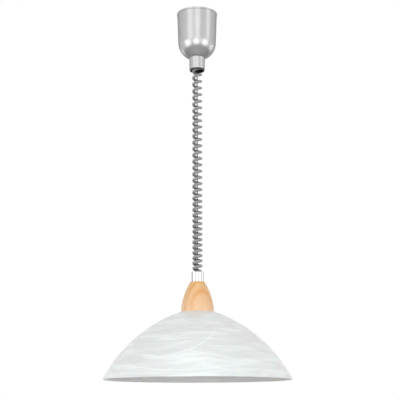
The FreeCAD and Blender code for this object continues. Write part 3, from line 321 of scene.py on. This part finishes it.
def stranded(radius, angle, run):
    """The coat's radius over the strands, at an angle round the wire and a run along it."""
    lay = 2 * math.pi * run / WIRE_LAY
    return radius - WIRE_RELIEF * (1 - abs(math.cos(WIRE_STRANDS / 2 * (angle - lay))))


def suspension_wire():
    """A coated wire rope whose strands show faintly through the coat."""
    low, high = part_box("suspension_wire")
    radius = (high.x - low.x) / 2
    rings = round((high.z - low.z) * WIRE_RINGS_PER_METRE)
    line = [Vector((0, 0, high.z + (low.z - high.z) * ring / rings)) for ring in range(rings + 1)]

    def relief(ring, angle):
        return stranded(radius, angle, high.z - line[ring].z)

    piece = swept_tube("wire_rope", line, WIRE_SIDES, relief)
    stretch_with_lamp(piece, line, WIRE_SIDES, high.z, low.z)
    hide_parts("suspension_wire")
    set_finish(piece, "wire_coat")
    return piece


# ---------------------------------------------------------------- wound wire and spring

def centre_of(node):
    low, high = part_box(node)
    return (low + high) / 2


def wire_winding():
    """The turns of the wire on its drum, with the same faint strands as below."""
    low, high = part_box("wire_winding")
    wire_low, wire_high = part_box("suspension_wire")
    wire = (wire_high.x - wire_low.x) / 2
    middle = (low + high) / 2
    radius = (high.x - low.x) / 2 - wire
    grow = 1 / math.cos(math.pi / POINTS_PER_CURL)
    count = round(DRUM_TURNS * POINTS_PER_CURL)
    run = high.y - low.y - 2 * wire
    route = []
    for index in range(count + 1):
        angle = 2 * math.pi * index / POINTS_PER_CURL
        reach = radius if index in (0, count) else radius * grow
        route.append(Vector((middle.x + reach * math.cos(angle), low.y + wire + run * index / count,
                             middle.z + reach * math.sin(angle))))
    line = along_spline("winding_line", route, WINDING_STEPS)
    ring_step = 2 * math.pi * radius / (POINTS_PER_CURL * WINDING_STEPS)

    def relief(ring, angle):
        return stranded(wire, angle, ring * ring_step)

    piece = swept_tube("wound_wire", line, WIRE_SIDES, relief)
    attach(piece, "drum")
    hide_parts("wire_winding")
    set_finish(piece, "wire_coat")
    return piece


def main_spring():
    """A flat strip wound in half circles that grow by one step each."""
    low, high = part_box("main_spring")
    middle = centre_of("rope_drum")
    halves = 2 * SPRING_TURNS
    step = (SPRING_OUTER - SPRING_STRIP - SPRING_INNER) / halves
    bevel, strip = SPRING_BEVEL, SPRING_STRIP
    sides = [(0, low.y + bevel), (bevel, low.y), (strip - bevel, low.y), (strip, low.y + bevel),
             (strip, high.y - bevel), (strip - bevel, high.y), (bevel, high.y),
             (0, high.y - bevel)]
    verts = []
    centre, radius, sign = 0.0, SPRING_INNER, 1
    for half in range(halves):
        for cut in range(SPRING_CUTS + (half == halves - 1)):
            angle = math.pi * cut / SPRING_CUTS
            for out, level in sides:
                reach = radius + out
                verts.append((middle.x + centre + sign * reach * math.cos(angle), level,
                              middle.z - sign * reach * math.sin(angle)))
        centre += sign * step
        radius += step
        sign = -sign
    faces = ring_faces(len(verts) // len(sides), len(sides), inverted=True)
    piece = mesh_piece("coiled_spring", verts, faces)
    piece.data.polygons.foreach_set("use_smooth", [False] * len(faces))
    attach(piece, "drum")
    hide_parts("main_spring")
    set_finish(piece, "spring_steel")
    return piece


# ---------------------------------------------------------------- leads and soft rings

def lead(name, node, slot, body, route, radius):
    line = along_spline(name + "_line", route, LEAD_STEPS)
    piece = swept_tube(name, line, LEAD_SIDES, lambda ring, angle: radius)
    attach(piece, body)
    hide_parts(node)
    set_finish(piece, slot)
    return piece


def supply_leads():
    """Three leads, one over the other, from the gland to the terminal block."""
    gland = centre_of("cord_gland")
    block_low, block_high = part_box("terminal_block")
    boss_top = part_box("balancer_case")[0].z + BOSS_HEIGHT
    pole_gap = (block_high.x - block_low.x) / POLES
    pole_middle = (block_high.x + block_low.x) / 2
    front = (block_high.y + block_low.y) / 2
    leads = []
    for index, colour in enumerate(("neutral", "earth", "live")):
        angle = math.radians(360 / POLES * index - 90)
        x, y = gland.x + CORE_SPREAD * math.cos(angle), CORE_SPREAD * math.sin(angle)
        pole = pole_middle + (index - 1) * pole_gap
        lane = boss_top + CORE_LANE + CORE_LANE_STEP * index
        route = [Vector((x, y, boss_top - CORE_TAIL)),
                 Vector((x, y, lane - CORE_LIFT - CORE_LIFT_STEP * index)),
                 Vector((x, y - CORE_SWING, lane - CORE_SLOPE)),
                 Vector((x, front + CORE_INSET, lane)),
                 Vector((pole, front, lane + CORE_SLOPE)),
                 Vector((pole, front, block_low.z + CORE_ENTRY))]
        slot = {"neutral": "core_blue", "earth": "core_green", "live": "core_brown"}[colour]
        leads.append(lead("supply_" + colour, "core_" + colour, slot, "ceiling", route,
                          CORE_RADIUS))
    return leads


def lamp_leads():
    """Two leads beside the wire's end, down through the nipple to the contact block."""
    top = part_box("lamp_core_live")[1].z
    exit_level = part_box("threaded_nipple")[0].z - LAMP_CORE_EXIT
    block_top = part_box("contact_block")[1].z
    leads = []
    for colour, slot, side in (("live", "core_brown", 1), ("neutral", "core_blue", -1)):
        route = [Vector((side * LAMP_CORE_NEAR, 0, top)),
                 Vector((side * LAMP_CORE_NEAR, 0, exit_level)),
                 Vector((side * LAMP_CORE_FAR, 0, block_top + LAMP_CORE_RISE)),
                 Vector((side * LAMP_CORE_FAR, 0, block_top - LAMP_CORE_ENTRY))]
        leads.append(lead("holder_" + colour, "lamp_core_" + colour, slot, "lamp", route,
                          LAMP_CORE_RADIUS))
    return leads


def soft_ring(name, node, slot, inner, rounding, fuzz):
    """A flat ring with rounded edges. fuzz sinks its faces unevenly, as between cut fibres."""
    low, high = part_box(node)
    outer = high.x
    corners = ((inner, low.z, 1, 1), (outer, low.z, -1, 1), (outer, high.z, -1, -1),
               (inner, high.z, 1, -1))
    outline = []
    for number, (radius, level, across, up) in enumerate(corners):
        for step in range(ROUND_STEPS + 1):
            angle = math.pi + math.pi / 2 * (number + step / ROUND_STEPS)
            outline.append((radius + across * rounding + rounding * math.cos(angle),
                            level + up * rounding + rounding * math.sin(angle)))
    verts = []
    for side in range(LATHE_SIDES):
        angle = 2 * math.pi * side / LATHE_SIDES
        for step, (radius, level) in enumerate(outline):
            wave = math.prod(math.sin(round_way * angle + slip * step)
                             for round_way, slip in FUZZ_WAVES)
            inward = fuzz * (1 + wave) / 2
            reach = radius - math.copysign(inward, radius - (inner + outer) / 2)
            height = level - math.copysign(inward, level - (low.z + high.z) / 2)
            verts.append((reach * math.cos(angle), reach * math.sin(angle), height))
    faces = ring_faces(LATHE_SIDES, len(outline), inverted=True, joined=True)
    piece = mesh_piece(name, verts, faces)
    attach(piece, "lamp")
    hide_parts(node)
    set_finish(piece, slot)
    return piece


def soft_rings():
    felt_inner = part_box("felt_ring")[1].x - FELT_WIDTH
    gasket_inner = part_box("glass_gasket")[1].x - GASKET_WIDTH
    return [soft_ring("felt_washer", "felt_ring", "felt", felt_inner, FELT_ROUND, FELT_FUZZ),
            soft_ring("silicone_washer", "glass_gasket", "silicone", gasket_inner,
                      GASKET_ROUND, 0)]


# ---------------------------------------------------------------- materials

class Look:
    """A material under construction, with its shader and its place in the object."""

    def __init__(self, name):
        self.material = bpy.data.materials.new(name)
        self.material.use_nodes = True
        self.tree = self.material.node_tree
        self.shader = self.tree.nodes["Principled BSDF"]
        self.place = self.add("ShaderNodeTexCoord").outputs["Object"]

    def add(self, kind, **settings):
        made = self.tree.nodes.new(kind)
        for key, value in settings.items():
            setattr(made, key, value)
        return made

    def join(self, source, target):
        self.tree.links.new(source, target)

    def put(self, **values):
        for key, value in values.items():
            self.shader.inputs[key.replace("_", " ")].default_value = value

    def mapped(self, scale=(1, 1, 1), turn=(0, 0, 0), shift=(0, 0, 0)):
        node = self.add("ShaderNodeMapping")
        node.inputs["Scale"].default_value = scale
        node.inputs["Rotation"].default_value = turn
        node.inputs["Location"].default_value = shift
        self.join(self.place, node.inputs["Vector"])
        return node.outputs["Vector"]

    def noise(self, where, scale, detail=3.0, distortion=0.0):
        node = self.add("ShaderNodeTexNoise")
        node.inputs["Scale"].default_value = scale
        node.inputs["Detail"].default_value = detail
        node.inputs["Distortion"].default_value = distortion
        self.join(where, node.inputs["Vector"])
        return node.outputs["Fac"]

    def ramp(self, source, stops):
        """Colours at shares of the source, dark to light."""
        node = self.add("ShaderNodeValToRGB")
        elements = node.color_ramp.elements
        while len(elements) < len(stops):
            elements.new(0.5)
        for element, (at, colour) in zip(elements, stops):
            element.position = at
            element.color = (*colour, 1)
        self.join(source, node.inputs["Fac"])
        return node.outputs["Color"]

    def blended(self, share, first, second):
        """A mix by a socket's share, or by a fixed one."""
        node = self.add("ShaderNodeMix", data_type="RGBA")
        colours = [one for one in node.inputs if one.type == "RGBA"]
        if isinstance(share, float):
            node.inputs["Factor"].default_value = share
        else:
            self.join(share, node.inputs["Factor"])
        self.join(first, colours[0])
        self.join(second, colours[1])
        return [one for one in node.outputs if one.type == "RGBA"][0]

    def fed(self, kind, values, **settings):
        """The outputs of a node whose first inputs are joined to sockets or set to numbers."""
        node = self.add(kind, **settings)
        for socket, value in zip(node.inputs, values):
            if isinstance(value, bpy.types.NodeSocket):
                self.join(value, socket)
            else:
                socket.default_value = value
        return node.outputs

    def calculate(self, kind, *values):
        """One step of arithmetic on sockets and numbers."""
        return self.fed("ShaderNodeMath", values, operation=kind)[0]

    def spread(self, source, start, end, low=0.0, high=1.0):
        """The source from start to end, eased between low and high."""
        node = self.add("ShaderNodeMapRange", interpolation_type="SMOOTHSTEP")
        for name, value in (("From Min", start), ("From Max", end), ("To Min", low),
                            ("To Max", high)):
            node.inputs[name].default_value = value
        self.join(source, node.inputs["Value"])
        return node.outputs["Result"]

    def line(self, source, points):
        """A smooth line through points from 0 to 1."""
        node = self.add("ShaderNodeFloatCurve")
        curve = node.mapping.curves[0]
        while len(curve.points) < len(points):
            curve.points.new(0.5, 0.5)
        for point, (across, up) in zip(curve.points, points):
            point.location = (across, up)
        node.mapping.update()
        self.join(source, node.inputs["Value"])
        return node.outputs["Value"]

    def rough_between(self, source, low, high):
        """A roughness that follows the source."""
        node = self.add("ShaderNodeMapRange")
        node.inputs["To Min"].default_value = low
        node.inputs["To Max"].default_value = high
        self.join(source, node.inputs["Value"])
        self.join(node.outputs["Result"], self.shader.inputs["Roughness"])

    def bump(self, source, depth, strength=0.5):
        """A relief that follows the source, its depth in metres."""
        node = self.add("ShaderNodeBump")
        node.inputs["Distance"].default_value = depth
        node.inputs["Strength"].default_value = strength
        self.join(source, node.inputs["Height"])
        self.join(node.outputs["Normal"], self.shader.inputs["Normal"])

    def colour(self, source):
        self.join(source, self.shader.inputs["Base Color"])


# shares of a noise between which it mostly lies
DARK_AT = 0.3
LIGHT_AT = 0.7
MOTTLE_SCALE = 35


def grey(level):
    """The colour with this level in all three channels."""
    return level, level, level


def two_tone(look, source, dark, light):
    """A ramp between two colours over the middle of the source."""
    return look.ramp(source, [(DARK_AT, dark), (LIGHT_AT, light)])


def mottled(look, source, colour, spread):
    """The colour, made darker and lighter by up to the spread."""
    dark, light = (tuple(min(1.0, channel * share) for channel in colour)
                   for share in (1 - spread, 1 + spread))
    look.colour(two_tone(look, source, dark, light))


def moulded(name, colour, rough, grain=900, depth=0.00004, spread=0.05):
    """Moulded plastic, enamel or rubber: slight mottling and a fine pebbled skin."""
    look = Look(name)
    mottled(look, look.noise(look.mapped(), MOTTLE_SCALE), colour, spread)
    fine = look.noise(look.mapped(), grain, detail=2)
    look.rough_between(fine, low=rough - 0.05, high=rough + 0.08)
    look.bump(fine, depth)
    return look


def metal(name, colour, rough, stretch=(1, 1, 1), grain=400, depth=0.00002, spread=0.06,
          uneven=0.12):
    """Metal with fine drawn or turned marks along the axis that stretch leaves short."""
    look = Look(name)
    look.put(Metallic=1.0)
    marks = look.noise(look.mapped(stretch), grain, detail=4)
    mottled(look, marks, colour, spread)
    look.rough_between(marks, low=rough, high=rough + uneven)
    look.bump(marks, depth, strength=0.3)
    return look


def satin_lacquer():
    """Silver lacquer with tiny flakes on spun metal."""
    look = moulded("satin_lacquer", grey(0.49), 0.29, grain=2600, depth=0.000003, spread=0.03)
    look.put(Metallic=0.75, Specular_IOR_Level=0.2, Specular_Tint=(0.3, 0.3, 0.3, 1))
    return look


# The growth rings' middle line: how it leans, and where it meets the ceiling plane. Then how much
# the straight grain shows over them, and how much paler the wood gets towards its foot.
WOOD_TILT = (0.10, 0.05, 0)
WOOD_CENTRE = (-0.055, 0.125, 0)
GRAIN_SHARE = 0.32
PALE_FOOT = 0.55


def growth_rings(look):
    """Rings round a leaning line that passes close behind the wood."""
    shift = [-level for level in WOOD_CENTRE]
    rings = look.add("ShaderNodeTexWave", wave_type="RINGS", rings_direction="Z")
    rings.inputs["Scale"].default_value = 34
    rings.inputs["Distortion"].default_value = 2.2
    rings.inputs["Detail"].default_value = 2
    rings.inputs["Detail Scale"].default_value = 0.3
    look.join(look.mapped(turn=WOOD_TILT, shift=shift), rings.inputs["Vector"])
    return look.ramp(rings.outputs["Fac"], [(0.45, (0.84, 0.51, 0.24)),
                                            (0.82, (0.80, 0.38, 0.08)),
                                            (0.98, (0.74, 0.31, 0.05))])


def pale_wood():
    """Straight grain with arched figure where the curve cuts the growth rings."""
    look = Look("pale_wood")
    fibre = look.noise(look.mapped(scale=(1, 1, 0.04)), scale=900, detail=4)
    streaks = two_tone(look, fibre, (0.68, 0.40, 0.17), (0.86, 0.55, 0.29))
    pale = two_tone(look, fibre, (0.82, 0.52, 0.32), (0.88, 0.59, 0.39))
    grained = look.blended(GRAIN_SHARE, growth_rings(look), streaks)
    foot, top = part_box("wood_cup")
    height = look.fed("ShaderNodeSeparateXYZ", [look.place])["Z"]
    paler = look.spread(height, foot.z, top.z, PALE_FOOT, 0.0)
    look.colour(look.blended(paler, grained, pale))
    look.rough_between(fibre, low=0.34, high=0.46)
    look.bump(fibre, depth=0.00005, strength=0.3)
    look.put(Coat_Weight=0.15, Coat_Roughness=0.2)
    return look


# Streaks of the glass: how many to the metre from the top, how far they stray from their rings,
# and how short they are along them.
STREAKS_PER_METRE = 75
STREAK_DRIFT = 3.5
STREAK_SHORTNESS = 1.6

# Wisps of the glass, seen from the front and once more from behind: degrees to the side and
# millimetres below the top, then how strong, and how far each fades out below.
WISPS = [
    (((-40, 104), (-32, 113), (-20, 108), (-7, 97), (7, 73), (22, 35)), 1.0, 4),
    (((-14, 89), (-8, 96), (10, 106), (26, 116), (50, 117)), 0.9, 3),
    (((-53, 37), (-38, 31), (-3, 25), (12, 30), (27, 39), (50, 72)), 0.5, 6),
    (((-46, 8), (2, 24), (38, 19)), 0.35, 7),
    (((-36, 72), (-20, 67), (-4, 61)), 0.6, 5),
    (((3, 89), (18, 87), (36, 90), (58, 108)), 0.5, 9),
    (((-25, 116), (-4, 116), (22, 125), (42, 126)), 0.5, 8),
    (((-68, 125), (-42, 130), (-23, 138), (1, 138), (18, 130), (36, 126), (62, 127)), 0.7, 7),
    (((-89, 145), (-30, 145), (1, 146), (25, 138), (89, 144)), 0.7, 6),
]
MILLIMETRES = 1000.0
WISP_DEEPEST = 160
WISP_UNEVEN = 1.6
# the crisp edge in millimetres and the soft ends in degrees
WISP_EDGE = 0.8
WISP_END = 9
# what the eased share is a third of the way along
THIRD_EASED = 7 / 27
# from the far left to the far right, in degrees
FULL_SIDE = 180


def side_share(degrees):
    """From 0 at the far left to 1 at the far right."""
    return (degrees + FULL_SIDE / 2) / FULL_SIDE


def wisp(look, across, depth, points, strength, fade):
    """One bright wisp: a crisp upper edge along the points, and a soft fall below it."""
    line = look.line(across, [(side_share(side), down / WISP_DEEPEST) for side, down in points])
    below = look.calculate("SUBTRACT", depth, look.calculate("MULTIPLY", line, WISP_DEEPEST))
    edge = (1 - WISP_EDGE / fade) * THIRD_EASED
    body = look.ramp(look.spread(below, -fade, 2 * fade),
                     [(0.0, grey(0)), (edge, grey(0)), (THIRD_EASED, grey(1)), (0.45, grey(0.3)),
                      (1.0, grey(0))])
    start, end = side_share(points[0][0]), side_share(points[-1][0])
    soft = WISP_END / FULL_SIDE
    rise = look.spread(across, start, start + soft)
    fall = look.spread(across, end - soft, end, 1.0, 0.0)
    seen = look.calculate("MULTIPLY", look.calculate("MULTIPLY", rise, fall), strength)
    return look.calculate("MULTIPLY", seen, body)


def all_wisps(look, place):
    """How strong the strongest wisp is at each place, measured from the top of the bowl."""
    x, y, z = look.fed("ShaderNodeSeparateXYZ", [place])
    forward = look.calculate("MULTIPLY", y, -1.0)
    angle = look.calculate("ARCTANGENT", look.calculate("DIVIDE", x, forward))
    across = look.calculate("MULTIPLY_ADD", angle, 1 / math.pi, 0.5)
    uneven = look.calculate("MULTIPLY", look.noise(place, scale=60), WISP_UNEVEN)
    depth = look.calculate("MULTIPLY_ADD", z, -MILLIMETRES, uneven)
    total = None
    for points, strength, fade in WISPS:
        one = wisp(look, across, depth, points, strength, fade)
        total = one if total is None else look.calculate("MAXIMUM", total, one)
    return total


def ring_streaks(look, place):
    """A noise drawn out in rings round the bowl, by the distance from its top."""
    x, y, _ = look.fed("ShaderNodeSeparateXYZ", [place])
    flat = look.fed("ShaderNodeCombineXYZ", [x, y])[0]
    around = look.fed("ShaderNodeVectorMath", [flat], operation="NORMALIZE")["Vector"]
    reach = look.fed("ShaderNodeVectorMath", [place], operation="LENGTH")["Value"]
    drift = look.calculate("MULTIPLY", look.noise(place, scale=9, detail=2), STREAK_DRIFT)
    level = look.calculate("MULTIPLY_ADD", reach, STREAKS_PER_METRE, drift)
    ring = look.fed("ShaderNodeCombineXYZ", [0.0, 0.0, level])[0]
    short = (STREAK_SHORTNESS, STREAK_SHORTNESS, 0)
    drawn = look.fed("ShaderNodeVectorMath", [around, short, ring], operation="MULTIPLY_ADD")
    return look.noise(drawn["Vector"], scale=1.0, detail=5, distortion=0.4)


def alabaster_glass():
    """White glass whose wisps follow the round of the bowl, with some that cross it aslant."""
    look = Look("alabaster_glass")
    place = look.mapped(shift=(0, 0, -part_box("glass_shade")[1].z))
    cloud = look.noise(place, scale=7, detail=2, distortion=0.5)
    ground = look.ramp(ring_streaks(look, place), [(0.33, grey(0.78)), (0.52, grey(0.84)),
                                                   (0.66, grey(0.93))])
    white = look.ramp(cloud, [(0.0, grey(0.98)), (1.0, grey(1.0))])
    look.colour(look.blended(all_wisps(look, place), ground, white))
    look.rough_between(cloud, low=0.28, high=0.36)
    look.put(Subsurface_Weight=0.3, Subsurface_Scale=0.02, Specular_IOR_Level=0.3)
    return look


def chrome():
    """Bright plating, with almost no turned marks."""
    look = metal("chrome", (0.56, 0.56, 0.565), 0.07, (1, 1, 0.2), depth=0.000004, spread=0.02,
                 uneven=0.02)
    look.put(Specular_Tint=(0.6, 0.6, 0.6, 1))
    return look


def felt():
    """Pressed wool with a soft bloom."""
    look = moulded("felt", (0.62, 0.60, 0.56), 0.9, grain=1500, depth=0.0004, spread=0.12)
    look.put(Sheen_Weight=0.5, Sheen_Roughness=0.5)
    return look


def looks():
    """One material for each of the record's slots."""
    return {
        "satin_lacquer": satin_lacquer(),
        "pale_wood": pale_wood(),
        "alabaster_glass": alabaster_glass(),
        "felt": felt(),
        "zinc_steel": metal("zinc_steel", (0.62, 0.63, 0.64), 0.32, (1, 1, 0.1)),
        "spring_steel": metal("spring_steel", (0.30, 0.33, 0.38), 0.30, (0.1, 1, 1)),
        "chrome": chrome(),
        "brass": metal("brass", (0.80, 0.60, 0.28), 0.28, (1, 1, 0.15)),
        "bulb_metal": metal("bulb_metal", (0.78, 0.78, 0.79), 0.30, (1, 1, 0.2)),
        "case_plastic": moulded("case_plastic", (0.20, 0.21, 0.22), 0.5),
        "black_plastic": moulded("black_plastic", (0.022, 0.022, 0.024), 0.42),
        "cord_sheath": moulded("cord_sheath", (0.31, 0.31, 0.315), 0.34, grain=1600,
                               depth=0.00002),
        "wire_coat": moulded("wire_coat", (0.025, 0.025, 0.027), 0.35, grain=2000,
                             depth=0.00001),
        "holder_plastic": moulded("holder_plastic", (0.82, 0.81, 0.78), 0.4),
        "ceramic": moulded("ceramic", (0.84, 0.82, 0.77), 0.2, grain=500, depth=0.00002),
        "opal_bulb": moulded("opal_bulb", (0.88, 0.87, 0.85), 0.22, grain=300, depth=0.000005,
                             spread=0.02),
        "silicone": moulded("silicone", (0.76, 0.75, 0.72), 0.55),
        "core_blue": moulded("core_blue", (0.04, 0.11, 0.48), 0.4),
        "core_brown": moulded("core_brown", (0.18, 0.07, 0.03), 0.4),
        "core_green": moulded("core_green", (0.12, 0.40, 0.07), 0.4),
        "knob_plastic": moulded("knob_plastic", (0.50, 0.05, 0.04), 0.4),
    }


def dress(pieces):
    made = looks()
    for subpart in frame["record"]["subparts"]:
        node = frame["nodes"][subpart["node"]]
        node.data.materials.clear()
        node.data.materials.append(made[subpart["material_slot"]].material)
    for piece in pieces:
        piece.data.materials.append(made[piece["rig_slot"]].material)


# ---------------------------------------------------------------- stage, light and camera

def shown_white(tree, plain, bright):
    """The bright output for what is seen directly, in gloss or through glass, else the plain."""
    path = tree.nodes.new("ShaderNodeLightPath")
    total = None
    for ray in ("Is Camera Ray", "Is Glossy Ray", "Is Transmission Ray"):
        if total is None:
            total = path.outputs[ray]
            continue
        add = tree.nodes.new("ShaderNodeMath")
        add.operation = "MAXIMUM"
        tree.links.new(total, add.inputs[0])
        tree.links.new(path.outputs[ray], add.inputs[1])
        total = add.outputs[0]
    mix = tree.nodes.new("ShaderNodeMixShader")
    tree.links.new(total, mix.inputs["Fac"])
    tree.links.new(plain, mix.inputs[1])
    tree.links.new(bright, mix.inputs[2])
    return mix.outputs[0]


def world():
    """White where it is seen or mirrored, and a plain level for the light it gives."""
    made = bpy.data.worlds.new("studio")
    made.use_nodes = True
    tree = made.node_tree
    plain = tree.nodes["Background"]
    plain.inputs["Color"].default_value = (1, 1, 1, 1)
    plain.inputs["Strength"].default_value = PLAIN_LEVEL
    bright = tree.nodes.new("ShaderNodeBackground")
    bright.inputs["Color"].default_value = (1, 1, 1, 1)
    bright.inputs["Strength"].default_value = BRIGHT_LEVEL
    result = shown_white(tree, plain.outputs[0], bright.outputs[0])
    tree.links.new(result, tree.nodes["World Output"].inputs["Surface"])
    bpy.context.scene.world = made


def floor():
    """A pale floor, well below the lamp."""
    reach, level = FLOOR_REACH, FLOOR_LEVEL
    piece = mesh_piece("floor", [(-reach, -reach, level), (reach, -reach, level),
                                 (reach, reach, level), (-reach, reach, level)], [(0, 1, 2, 3)])
    look = moulded("floor_paint", grey(0.62), 0.7, grain=60, depth=0.0002, spread=0.01)
    piece.data.materials.append(look.material)


def soft_light(name, spot, aim, size, power):
    data = bpy.data.lights.new(name, "AREA")
    data.shape = "SQUARE"
    data.size = size
    data.energy = power
    lamp = bpy.data.objects.new(name, data)
    lamp.location = spot
    lamp.rotation_euler = (Vector(aim) - Vector(spot)).to_track_quat("-Z", "Y").to_euler()
    bpy.context.scene.collection.objects.link(lamp)


def lights():
    """Soft lights all round below the ceiling cup, weaker ones over them and one on top."""
    for level, ring in ((LIGHT_LEVEL, SOFT_LIGHTS), (HIGH_LEVEL, HIGH_LIGHTS)):
        for side, size, power in ring:
            angle = math.radians(side)
            spot = (LIGHT_DISTANCE * math.sin(angle), -LIGHT_DISTANCE * math.cos(angle), level)
            soft_light(f"soft_{side + 180}", spot, (0, 0, LIGHT_AIM), size, power)
    soft_light("soft_top", TOP_SPOT, (0, 0, LIGHT_AIM), TOP_SIZE, TOP_POWER)


def camera():
    """Below the shade and looking up at it, as in the photo."""
    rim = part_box("glass_shade")[0].z
    data = bpy.data.cameras.new("camera")
    data.lens = LENS
    data.sensor_width = SENSOR
    eye = bpy.data.objects.new("camera", data)
    eye.location = (CAMERA_SIDE, -CAMERA_DISTANCE, rim - CAMERA_BELOW_RIM)
    eye.rotation_euler = (math.pi / 2 + CAMERA_PITCH, CAMERA_ROLL, 0)
    bpy.context.scene.collection.objects.link(eye)
    bpy.context.scene.camera = eye
    bpy.context.scene.view_settings.view_transform = "Standard"


dress([curly_cord(), suspension_wire(), wire_winding(), main_spring(), *supply_leads(),
       *lamp_leads(), *soft_rings()])
world()
floor()
lights()
camera()
